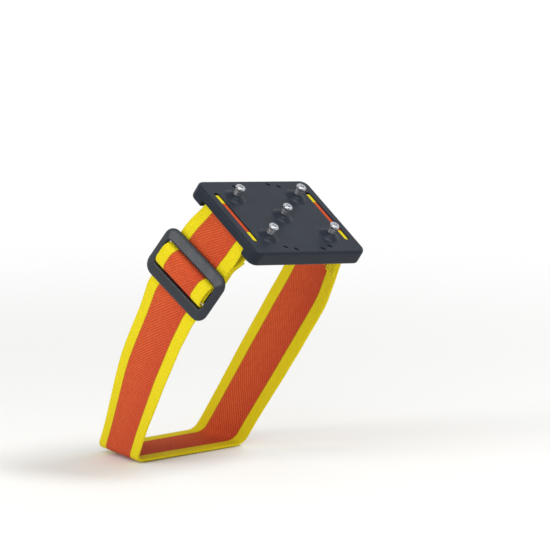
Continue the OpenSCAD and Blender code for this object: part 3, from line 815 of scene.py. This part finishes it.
# %% Model one stud
STUD_H, SHANK_L, NECK_R, STUD_ROUND = 5.4, 9, 2.1, 0.15
CROWN_R, CROWN_H, CROWN_BEVEL_H, CROWN_TOP_R = 2.8, 2.2, 0.7, 2.1
TIP_R, TIP_DEPTH = 1, 3
FLUTES, FLUTE_R, FLUTE_DEPTH, FLUTE_BELOW = 6, 0.55, 0.4, 0.2


def ring_of_rods(name, count, radius, low, high, reach, first_angle=0):
    """Rods that stand in a ring round the z axis, joined into one cutter."""
    rods = []
    for i in range(count):
        angle = first_angle + i * 2 * math.pi / count
        rods.append(rod(name, radius, low, high, (reach * math.cos(angle), reach * math.sin(angle)), sides=20))
    return join_pieces(rods)


stud = turn_on_lathe("stud", [
    (0, -SHANK_L), (SHANK_R, -SHANK_L), (SHANK_R, 0), (NECK_R, 0),
    (NECK_R, STUD_H - CROWN_H), (CROWN_R, STUD_H - CROWN_H + CROWN_BEVEL_H), (CROWN_R, STUD_H - CROWN_BEVEL_H),
    (CROWN_TOP_R, STUD_H), (TIP_R + SEAT_GAP, STUD_H), (TIP_R + SEAT_GAP, STUD_H - TIP_DEPTH),
    (0, STUD_H - TIP_DEPTH)], STUD_ROUND)
combine(stud, ring_of_rods("flute", FLUTES, FLUTE_R, STUD_H - CROWN_H - FLUTE_BELOW, STUD_H + PAST,
                           CROWN_R + FLUTE_R - FLUTE_DEPTH), "DIFFERENCE")
print("stud:", len(stud.data.polygons), "faces")

# %% Model one tip and one insert
TIP_OUT, TIP_BEVEL, TIP_CROWN, TIP_ROUND = 0.7, 0.35, 0.05, 0.1
INSERT_ROUND = 0.2
NOTCHES, NOTCH_R = 3, 0.8

tip = turn_on_lathe("tip", [(0, -TIP_DEPTH), (TIP_R, -TIP_DEPTH), (TIP_R, TIP_OUT - TIP_BEVEL),
                            (TIP_R - TIP_BEVEL, TIP_OUT), (0, TIP_OUT + TIP_CROWN)], TIP_ROUND)
insert = turn_on_lathe("insert", [
    (SHANK_R + SEAT_GAP, 0), (FLANGE_R, 0), (FLANGE_R, FLANGE_T), (BARREL_R, FLANGE_T),
    (BARREL_R, FLANGE_T + BARREL_L), (SHANK_R + SEAT_GAP, FLANGE_T + BARREL_L)], INSERT_ROUND)
combine(insert, ring_of_rods("notch", NOTCHES, NOTCH_R, -PAST, FLANGE_T + PAST / 2, FLANGE_R, math.pi / 2),
        "DIFFERENCE")
print("tip and insert:", len(tip.data.polygons), "and", len(insert.data.polygons), "faces")

# %% Set a copy of each at every stud's place
TURNED_SHARP = 40

for corner_name, (x, y) in STUD_PLACES.items():
    for model, kind, height in [(stud, "stud", MOUND_H), (tip, "tip", MOUND_H + STUD_H),
                                (insert, "insert", -PLATE_T)]:
        piece = model.copy()
        piece.data = model.data.copy()
        bpy.context.collection.objects.link(piece)
        piece.name = piece.data.name = f"{kind}_{corner_name}_turned"
        finish_shape(piece, PLATE_FRAME @ Matrix.Translation(Vector((x, y, height)) * MM), TURNED_SHARP)
        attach(piece, "plate")
        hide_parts(f"{kind}_{corner_name}")
        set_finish(piece, kind)
for model in (stud, tip, insert):
    bpy.data.objects.remove(model)
print("set", len(STUD_PLACES), "studs with their tips and inserts")

# %% [markdown]
# ## Stitching
# Rows of stitches hold the webbing's two ends. A stitch is a short run of thread that dives into the cloth at both
# ends, so a sphere is drawn out into a grain and its ends are pulled down. Two Array modifiers repeat it across the
# webbing and from row to row, as a bar-tack machine does. One long thread that goes in and out would be truer, but
# its hidden half would never be seen.

# %% Sew rows of stitches
STITCH_L, THREAD_T, STITCH_PITCH, ROW_PITCH, STITCHES_PER_ROW = 2.2, 0.4, 3, 2, 12
STITCH_RISE, STITCH_DIVE = 0.45, 0.3  # shares of the thread's thickness


def sew(name, rows):
    """Rows of stitches across a face at z = 0, standing up from it."""
    deselect()
    bpy.ops.mesh.primitive_uv_sphere_add(segments=8, ring_count=8, radius=0.5, rotation=(math.pi / 2, 0, 0),
                                         scale=(THREAD_T * MM, THREAD_T * MM, STITCH_L * MM))
    piece = name_piece(name)
    for vertex in piece.data.vertices:
        to_end = abs(vertex.co.y) / (STITCH_L / 2 * MM)
        vertex.co.z += (STITCH_RISE - STITCH_DIVE * to_end ** 3) * THREAD_T * MM
        vertex.co.x -= ROW_PITCH * (rows - 1) / 2 * MM
        vertex.co.y -= STITCH_PITCH * (STITCHES_PER_ROW - 1) / 2 * MM
    for count, step in [(STITCHES_PER_ROW, (0, STITCH_PITCH * MM, 0)), (rows, (ROW_PITCH * MM, 0, 0))]:
        repeat = piece.modifiers.new("repeat", "ARRAY")
        repeat.count, repeat.use_relative_offset, repeat.use_constant_offset = count, False, True
        repeat.constant_offset_displace = step
    apply_modifiers(piece)
    bpy.ops.object.shade_smooth()
    return piece


def place_stitches(piece, place):
    pick_piece(piece)
    piece.matrix_world = place
    bpy.ops.object.transform_apply(location=True, rotation=True, scale=True)
    return piece


# %% Sew the two ends
SLIDER_ROWS, FAR_ROWS = 2, 3
SEAM_IN, FAR_SEAM_IN = 1, 3.8
FLIP = Matrix.Rotation(math.pi, 4, "Y")

slider_seam = sew("slider_stitching_thread", SLIDER_ROWS)
seam_at = Vector(((SLIDER_L / 2 - SEAM_IN + sewn_foot + FOOT_R) / 2, TAIL_H * math.sin(SLIDER_ROLL),
                  TAIL_H * math.cos(SLIDER_ROLL) - WEBBING_T / 2))
place_stitches(slider_seam, SLIDER_FRAME @ Matrix.Translation(seam_at * MM) @ FLIP)
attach(slider_seam, "slider")
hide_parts("slider_stitching")
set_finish(slider_seam, "thread")

FAR_TAIL_FRAME = in_loop(far_join, -math.atan2(far_along.y, far_along.x))
far_faces = []
for name, height, turn in [("far_stitching_thread", WEBBING_T / 2, Matrix.Identity(4)),
                           ("far_stitching_back", -WEBBING_T / 2 - LAYER_STEP, FLIP)]:
    on_seam = Matrix.Translation(Vector((-FAR_SEAM_IN, 0, height)) * MM)
    far_faces.append(place_stitches(sew(name, FAR_ROWS), FAR_TAIL_FRAME @ on_seam @ turn))
far_seam = join_pieces(far_faces)
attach(far_seam, "plate")
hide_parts("far_stitching")
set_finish(far_seam, "thread")
print("stitching faces:", len(slider_seam.data.polygons) + len(far_seam.data.polygons))

# %% [markdown]
# ## Finishes
# Each finish is a small network of nodes. Colours are written as on a screen, in sRGB hex, and one function turns
# them into the linear values that the shader needs. One more function adds a node with its settings and links. Where
# a node mixes two colours, they are its sockets 6 and 7, and its output 2 is the mixed colour.

# %% Helpers for the finishes
def linear(colour):
    """An sRGB hex colour as linear values, by the curve of the sRGB standard."""
    channels = (int(colour[i:i + 2], 16) / 255 for i in (1, 3, 5))
    return [c / 12.92 if c <= 0.04045 else ((c + 0.055) / 1.055) ** 2.4 for c in channels] + [1]


def add_node(finish, kind, sockets, **settings):
    """Add one node, make its settings, and fill its sockets with values or links."""
    node = finish.node_tree.nodes.new(kind)
    for name, value in settings.items():
        setattr(node, name, value)
    for socket, value in sockets.items():
        if isinstance(value, bpy.types.NodeSocket):
            finish.node_tree.links.new(value, node.inputs[socket])
        else:
            node.inputs[socket].default_value = value
    return node


def start_finish(name, **sockets):
    """A new material, with the values that are the same all over it."""
    finish = bpy.data.materials.new(name)
    finish.use_nodes = True
    shader = finish.node_tree.nodes["Principled BSDF"]
    for socket, value in sockets.items():
        shader.inputs[socket.replace("_", " ")].default_value = value
    return finish, shader


def dress(finish, *pieces):
    for piece in pieces:
        piece.data.materials.clear()
        piece.data.materials.append(finish)


# %% [markdown]
# The webbing is woven polyester over rubber threads: dyed warp yarns lie side by side along its length, and each
# rises over the weft in short floats. Every float starts a quarter later than its neighbour's, which draws the fine
# diagonal lines of a twill. The yarns decide the colour, so the stripes change at a yarn: yellow, orange, yellow. The
# hollows between yarns and floats are painted darker, as painted shade. The orange is painted a little redder and
# darker towards the toe edge, also as painted shade, and the yarns are a little darker where the colours meet. They
# are 0.415 mm apart, as in real webbing, and the floats are drawn longer than real ones, 2.4 mm, so that the twill
# shows in a render.

# %% Yarns and floats of the striped elastic
YARN, FLOAT = 0.415 * MM, 2.4 * MM
ORANGE_YARNS = 28

weave, shader = start_finish("woven_polyester_elastic", Roughness=0.85, Specular_IOR_Level=0.2)
route_map = add_node(weave, "ShaderNodeUVMap", {}, uv_map="route").outputs["UV"]
along, across, _ = add_node(weave, "ShaderNodeSeparateXYZ", {0: route_map}).outputs
yarns = add_node(weave, "ShaderNodeMath", {0: across, 1: YARN}, operation="DIVIDE").outputs[0]
yarn = add_node(weave, "ShaderNodeMath", {0: yarns}, operation="FLOOR").outputs[0]
in_yarn = add_node(weave, "ShaderNodeMath", {0: yarns}, operation="FRACT").outputs[0]
lag = add_node(weave, "ShaderNodeMath", {0: yarn, 1: -1 / 4}, operation="MULTIPLY").outputs[0]
floats = add_node(weave, "ShaderNodeMath", {0: along, 1: 1 / FLOAT, 2: lag}, operation="MULTIPLY_ADD").outputs[0]
float_number = add_node(weave, "ShaderNodeMath", {0: floats}, operation="FLOOR").outputs[0]
in_float = add_node(weave, "ShaderNodeMath", {0: floats}, operation="FRACT").outputs[0]
centred = add_node(weave, "ShaderNodeMath", {0: yarn, 1: 0.5}, operation="ADD").outputs[0]
from_middle = add_node(weave, "ShaderNodeMath", {0: centred}, operation="ABSOLUTE").outputs[0]
edge_stripe = add_node(weave, "ShaderNodeMath", {0: from_middle, 1: ORANGE_YARNS},
                       operation="GREATER_THAN").outputs[0]
# The last orange yarn and the first yellow one lie within 0.6 of a yarn from where the colours meet.
meeting = add_node(weave, "ShaderNodeMath", {0: from_middle, 1: float(ORANGE_YARNS), 2: 0.6},
                   operation="COMPARE").outputs[0]
print("orange stripe", round(2 * ORANGE_YARNS * YARN / MM, 1), "mm wide")

# %% Height of the yarns
half_turn = add_node(weave, "ShaderNodeMath", {0: in_yarn, 1: math.pi}, operation="MULTIPLY").outputs[0]
yarn_round = add_node(weave, "ShaderNodeMath", {0: half_turn}, operation="SINE").outputs[0]
half_float = add_node(weave, "ShaderNodeMath", {0: in_float, 1: math.pi}, operation="MULTIPLY").outputs[0]
float_round = add_node(weave, "ShaderNodeMath", {0: half_float}, operation="SINE").outputs[0]
product = add_node(weave, "ShaderNodeMath", {0: yarn_round, 1: float_round}, operation="MULTIPLY").outputs[0]
rise = add_node(weave, "ShaderNodeMath", {0: product, 1: 0.7}, operation="POWER").outputs[0]
relief = add_node(weave, "ShaderNodeMapRange", {"Value": edge_stripe, "To Min": 1.0, "To Max": 0.35}).outputs[0]
height = add_node(weave, "ShaderNodeMath", {0: rise, 1: relief}, operation="MULTIPLY").outputs[0]
bump = add_node(weave, "ShaderNodeBump", {"Strength": 0.7, "Distance": 0.25 * MM, "Height": height})
weave.node_tree.links.new(bump.outputs["Normal"], shader.inputs["Normal"])
print("nodes that shape the weave:", len(weave.node_tree.nodes))

# %% Orange yarns
DYE_DRIFT = 25 * MM

yarn_cell = add_node(weave, "ShaderNodeCombineXYZ", {0: yarn, 1: float_number}).outputs[0]
chance = add_node(weave, "ShaderNodeTexWhiteNoise", {"Vector": yarn_cell}).outputs["Value"]
drift = add_node(weave, "ShaderNodeTexNoise",
                 {"Vector": route_map, "Scale": 1 / DYE_DRIFT, "Detail": 2.0}).outputs["Fac"]
# Painted shade: the darker orange that fills the hollows between yarns and floats, drifting between two tones.
orange_hollow_shade = add_node(weave, "ShaderNodeMix", {"Factor": drift, 6: linear("#9C2C16"), 7: linear("#A83816")},
                       data_type="RGBA").outputs[2]
orange_light = add_node(weave, "ShaderNodeMix", {"Factor": chance, 6: linear("#E65E30"), 7: linear("#F2703A")},
                        data_type="RGBA").outputs[2]
# Painted shade: towards the toe side of the width, the orange is mixed up to 0.4 of the way to a darker red.
toe_shade_share = add_node(weave, "ShaderNodeMapRange",
                     {"Value": across, "From Min": 4 * MM, "From Max": -12 * MM, "To Max": 0.4}).outputs[0]
redder = add_node(weave, "ShaderNodeMix", {"Factor": toe_shade_share, 6: orange_light, 7: linear("#CF3A2E")},
                  data_type="RGBA").outputs[2]
# The weave's height mixes the colour: the low hollows take the painted shade, the raised floats the full orange.
orange = add_node(weave, "ShaderNodeMix", {"Factor": rise, 6: orange_hollow_shade, 7: redder}, data_type="RGBA").outputs[2]
print("nodes with the orange yarns:", len(weave.node_tree.nodes))

# %% Yellow yarns, and the stripes
yellow_light = add_node(weave, "ShaderNodeMix", {"Factor": chance, 6: linear("#E1CF12"), 7: linear("#EBDB1C")},
                        data_type="RGBA").outputs[2]
# Painted shade: the yellow is darker in the hollows of the weave, mixed in by the weave's height.
yellow = add_node(weave, "ShaderNodeMix", {"Factor": rise, 6: linear("#D4C010"), 7: yellow_light},
                  data_type="RGBA").outputs[2]
striped = add_node(weave, "ShaderNodeMix", {"Factor": edge_stripe, 6: orange, 7: yellow},
                   data_type="RGBA").outputs[2]
meeting_share = add_node(weave, "ShaderNodeMath", {0: meeting, 1: 0.5}, operation="MULTIPLY").outputs[0]
edged = add_node(weave, "ShaderNodeMix", {"Factor": meeting_share, 6: striped, 7: linear("#A65A0C")},
                 data_type="RGBA").outputs[2]
weave.node_tree.links.new(edged, shader.inputs["Base Color"])
dress(weave, *webbing.values())
print("weave nodes:", len(weave.node_tree.nodes))

# %% [markdown]
# The plate is moulded thermoplastic rubber. Its mould was etched, so the face has a fine even grain that breaks up
# reflections and leaves it almost matt. Handling polishes some patches a little, which shows as slow changes of
# gloss. The grain is drawn at 0.7 mm, coarser than a real one, so that it shows. The other hard finishes vary in the
# same way, so one function does that for all of them.

# %% Moulded rubber of the plate
GRAIN, POLISHED = 0.7 * MM, 12 * MM


def vary(finish, shader, patches, tones, roughness, relief, strength, depth):
    """Let patches shift a finish's tone and roughness, and raise a fine relief on it."""
    tone = add_node(finish, "ShaderNodeMix", {"Factor": patches, 6: linear(tones[0]), 7: linear(tones[1])},
                    data_type="RGBA").outputs[2]
    gloss = add_node(finish, "ShaderNodeMapRange",
                     {"Value": patches, "To Min": roughness[0], "To Max": roughness[1]}).outputs[0]
    bump = add_node(finish, "ShaderNodeBump", {"Strength": strength, "Distance": depth, "Height": relief})
    for source, socket in [(tone, "Base Color"), (gloss, "Roughness"), (bump.outputs["Normal"], "Normal")]:
        finish.node_tree.links.new(source, shader.inputs[socket])


rubber, shader = start_finish("moulded_rubber", Specular_IOR_Level=0.15)
place = add_node(rubber, "ShaderNodeTexCoord", {}).outputs["Object"]
grain = add_node(rubber, "ShaderNodeTexNoise", {"Vector": place, "Scale": 1 / GRAIN, "Detail": 3.0}).outputs["Fac"]
polish = add_node(rubber, "ShaderNodeTexNoise",
                  {"Vector": place, "Scale": 1 / POLISHED, "Detail": 3.0}).outputs["Fac"]
vary(rubber, shader, polish, tones=("#181F28", "#1F2632"), roughness=(0.46, 0.38),
     relief=grain, strength=0.5, depth=0.1 * MM)
dress(rubber, plate)
print("rubber nodes:", len(rubber.node_tree.nodes))

# %% [markdown]
# The slider is injection-moulded acetal, harder and a little glossier than the rubber, with a satin surface that the
# webbing has rubbed in places. Its grain is drawn at 0.4 mm, again coarser than a real one.

# %% Moulded acetal of the slider
SATIN, RUBBED = 0.4 * MM, 6 * MM

acetal, shader = start_finish("satin_moulded_acetal", IOR=1.48, Specular_IOR_Level=0.35)
place = add_node(acetal, "ShaderNodeTexCoord", {}).outputs["Object"]
grain = add_node(acetal, "ShaderNodeTexNoise", {"Vector": place, "Scale": 1 / SATIN, "Detail": 2.0}).outputs["Fac"]
rubbed = add_node(acetal, "ShaderNodeTexNoise",
                  {"Vector": place, "Scale": 1 / RUBBED, "Detail": 4.0}).outputs["Fac"]
vary(acetal, shader, rubbed, tones=("#1C2026", "#262B32"), roughness=(0.45, 0.33),
     relief=grain, strength=0.15, depth=0.05 * MM)
dress(acetal, slider)
print("acetal nodes:", len(acetal.node_tree.nodes))

# %% [markdown]
# The studs and inserts are turned steel with a bright zinc plating, the tips are ground carbide, and the thread is
# twisted polyester. The zinc shows faint cloudy patches, the carbide is darker, and the thread's twist is drawn
# coarser than a real one, so that it shows.

# %% Plated steel and carbide
def metal(name, tones, roughness, patch):
    """A plated or ground metal, cloudy at the size of a patch."""
    finish, shader = start_finish(name, Metallic=1.0)
    place = add_node(finish, "ShaderNodeTexCoord", {}).outputs["Object"]
    cloud = add_node(finish, "ShaderNodeTexNoise",
                     {"Vector": place, "Scale": 1 / patch, "Detail": 3.0}).outputs["Fac"]
    vary(finish, shader, cloud, tones, roughness, relief=cloud, strength=0.1, depth=0.03 * MM)
    return finish


by_slot = {}
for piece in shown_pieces():
    by_slot.setdefault(piece.get("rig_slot"), []).append(piece)
dress(metal("bright_zinc_plated_steel", ("#A6A8AD", "#C4C6CA"), (0.48, 0.34), 1.5 * MM), *by_slot["stud"])
dress(metal("ground_carbide", ("#84888E", "#A0A4A9"), (0.45, 0.35), 0.6 * MM), *by_slot["tip"])
dress(metal("zinc_plated_insert", ("#8C9094", "#A8ABAF"), (0.45, 0.3), 2 * MM), *by_slot["insert"])
print("metal on", sum(len(by_slot[kind]) for kind in ("stud", "tip", "insert")), "pieces")

# %% Twisted thread
TWIST = 0.35 * MM  # one radian of the twist's bands
WAVE_RADIANS = 20  # radians in a metre of a wave texture at a scale of 1

thread, shader = start_finish("twisted_polyester_thread", Roughness=0.6, Sheen_Weight=0.2)
place = add_node(thread, "ShaderNodeTexCoord", {}).outputs["Object"]
twist = add_node(thread, "ShaderNodeTexWave",
                 {"Vector": place, "Scale": 1 / (WAVE_RADIANS * TWIST), "Distortion": 1.0}).outputs["Fac"]
tone = add_node(thread, "ShaderNodeMix", {"Factor": twist, 6: linear("#D9C01C"), 7: linear("#F4E330")},
                data_type="RGBA").outputs[2]
thread.node_tree.links.new(tone, shader.inputs["Base Color"])
dress(thread, *by_slot["thread"])
print("finishes:", len(bpy.data.materials))

# %% [markdown]
# ## Floor, background and light
# The cleat stands on a pale floor in a plain studio. A large soft light on the left shows the webbing. A small one
# high over the toe side shows the mounds and the rounded rims of the plate. A third stands where the slider's upper
# bar mirrors it, so that bar is lighter than the others. The sky fills the rest. The background is white only to the
# camera, in reflections and through anything clear, so it adds no light of its own. Far from the cleat the floor
# fades into it, and near the cleat the floor keeps its shadow.

# %% Build the floor
FLOOR_SIDE, FLOOR_GAP = 12, 0.2 * MM
FADE_FROM, FADE_TO = 0.15, 0.7  # metres from the origin


def seen_as_white(surface):
    """1 for the rays that meet a white background, and 0 for those that light the cleat."""
    path = add_node(surface, "ShaderNodeLightPath", {}).outputs
    seen = add_node(surface, "ShaderNodeMath", {0: path["Is Camera Ray"], 1: path["Is Glossy Ray"]},
                    operation="MAXIMUM").outputs[0]
    return add_node(surface, "ShaderNodeMath", {0: seen, 1: path["Is Transmission Ray"]},
                    operation="MAXIMUM").outputs[0]


deselect()
bpy.ops.mesh.primitive_plane_add(size=FLOOR_SIDE, location=(0, 0, cad_box[0].z - FLOOR_GAP))
floor = name_piece("studio_floor")
ground, shader = start_finish("pale_studio_floor", Roughness=0.9)
shader.inputs["Base Color"].default_value = linear("#F2F2F0")
spot = add_node(ground, "ShaderNodeTexCoord", {}).outputs["Object"]
reach = add_node(ground, "ShaderNodeVectorMath", {0: spot}, operation="LENGTH").outputs["Value"]
fade = add_node(ground, "ShaderNodeMapRange", {"Value": reach, "From Min": FADE_FROM, "From Max": FADE_TO},
                interpolation_type="SMOOTHSTEP").outputs[0]
white = add_node(ground, "ShaderNodeEmission", {"Strength": 1.0}).outputs[0]
share = add_node(ground, "ShaderNodeMath", {0: fade, 1: seen_as_white(ground)}, operation="MULTIPLY").outputs[0]
surface = add_node(ground, "ShaderNodeMixShader", {0: share, 1: shader.outputs[0], 2: white}).outputs[0]
ground.node_tree.links.new(surface, ground.node_tree.nodes["Material Output"].inputs["Surface"])
dress(ground, floor)
print("floor at", round(floor.data.vertices[0].co.z / MM, 1), "mm")

# %% Light the studio
SKY_LIGHT = 0.5
LOOP_MIDDLE = Vector((0, -45, 70)) * MM

world = bpy.data.worlds.new("studio")
world.use_nodes = True
bpy.context.scene.world = world
sky = world.node_tree.nodes["Background"]
sky.inputs["Color"].default_value = linear("#FFFFFF")
level = add_node(world, "ShaderNodeMapRange",
                 {"Value": seen_as_white(world), "To Min": SKY_LIGHT, "To Max": 1.0}).outputs[0]
world.node_tree.links.new(level, sky.inputs["Strength"])

for name, direction, away, size, power in [
        ("left_softbox", (-0.9, -0.6, 0.7), 1.5, 1.2, 7),
        ("front_softbox", (0.3, -0.5, 0.8), 1.8, 0.45, 16),
        ("back_softbox", (-0.91, 0.17, 0.38), 1.6, 0.5, 7)]:
    towards = Vector(direction).normalized()
    bpy.ops.object.light_add(type="AREA", location=LOOP_MIDDLE + towards * away,
                             rotation=towards.to_track_quat("Z", "Y").to_euler())
    lamp = bpy.context.object
    lamp.name, lamp.data.size, lamp.data.energy = name, size, power
bpy.context.scene.view_settings.view_transform = "Standard"
print("lamps:", len(bpy.data.lights))
